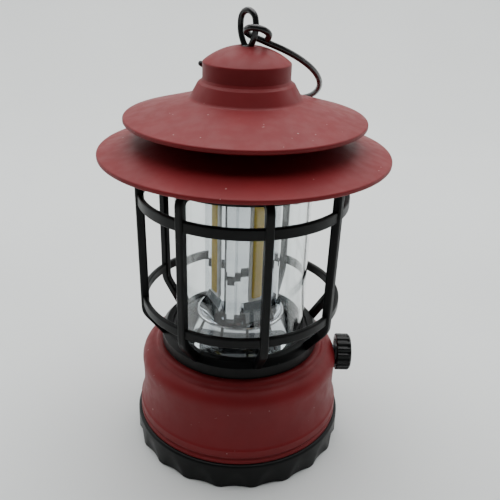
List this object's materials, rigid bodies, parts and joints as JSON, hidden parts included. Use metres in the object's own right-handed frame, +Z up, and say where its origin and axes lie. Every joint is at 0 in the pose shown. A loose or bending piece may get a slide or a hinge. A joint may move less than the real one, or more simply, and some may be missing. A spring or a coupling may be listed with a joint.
{
  "type": "camping lantern",
  "caption": "Battery camping lantern shaped like an old oil lantern: round base with a dimmer knob, caged clear chimney, stacked brimmed roofs and a wire hook.",
  "frame": {"origin": "centre of the round base's underside, on the surface that the lantern stands on", "axes": "+Z up along the lantern's axis, -Y the front, +X the side that the dimmer knob is on"},
  "size_m": [0.1192, 0.1192, 0.1921],
  "materials": {
    "red_plastic": "satin",
    "black_plastic": "satin",
    "clear_plastic": "clear",
    "seal_rubber": "matte",
    "chromed_plastic": "polished",
    "led_board": "white lacquered",
    "led_phosphor": "silicone gel",
    "black_wire": "semi-gloss",
    "zinc_steel": "zinc plated",
    "spring_strip": "nickel plated",
    "battery_sleeve": "printed sleeve",
    "dimmer_case": "moulded",
    "circuit_laminate": "solder mask",
    "lead_insulation": "matte"
  },
  "bodies": {
    "lantern": {"base_body": "red_plastic", "roof_lower": "red_plastic", "roof_upper": "red_plastic", "bottom_cover": "black_plastic", "collar": "black_plastic", "cage_crown": "black_plastic", "cage_lower_ring": "black_plastic", "cage_upper_ring": "black_plastic", "cage_bar_1": "black_plastic", "cage_bar_2": "black_plastic", "cage_bar_3": "black_plastic", "cage_bar_4": "black_plastic", "cage_bar_5": "black_plastic", "cage_bar_6": "black_plastic", "cage_bar_7": "black_plastic", "cage_bar_8": "black_plastic", "glass_chimney": "clear_plastic", "glass_seal_lower": "seal_rubber", "glass_seal_upper": "seal_rubber", "reflector_skirt": "chromed_plastic", "reflector_column": "chromed_plastic", "reflector_cap": "chromed_plastic", "led_board_1": "led_board", "led_board_2": "led_board", "led_board_3": "led_board", "led_board_4": "led_board", "led_strip_1": "led_phosphor", "led_strip_2": "led_phosphor", "led_strip_3": "led_phosphor", "led_strip_4": "led_phosphor", "hanging_eye": "black_wire", "bottom_screws": "zinc_steel", "crown_screws": "zinc_steel", "board_screws": "zinc_steel", "eye_washer": "zinc_steel", "eye_nut": "zinc_steel", "dimmer_nut": "zinc_steel", "contact_strip_left": "spring_strip", "contact_strip_right": "spring_strip", "battery_cell_1": "battery_sleeve", "battery_cell_2": "battery_sleeve", "battery_cell_3": "battery_sleeve", "dimmer_body": "dimmer_case", "circuit_board": "circuit_laminate", "led_leads": "lead_insulation", "battery_leads": "lead_insulation"},
    "knob": {"dimmer_knob": "black_plastic", "dimmer_shaft": "zinc_steel"},
    "door": {"battery_door": "black_plastic"},
    "hook": {"hook": "black_wire"}
  },
  "joints": [
    {"name": "knob_turn", "type": "hinge", "parent": "lantern", "child": "knob", "pos_m": [0.0495, 0, 0.0398], "axis": [1, 0, 0], "range_deg": [0, 300]},
    {"name": "door_swing", "type": "hinge", "parent": "lantern", "child": "door", "pos_m": [-0.0277, 0, 0.0036], "axis": [0, 1, 0], "range_deg": [0, 80]},
    {"name": "hook_swing", "type": "hinge", "parent": "lantern", "child": "hook", "pos_m": [0.0027, -0.0027, 0.1833], "axis": [1, 0, 0], "range_deg": [0, 85]}
  ]
}
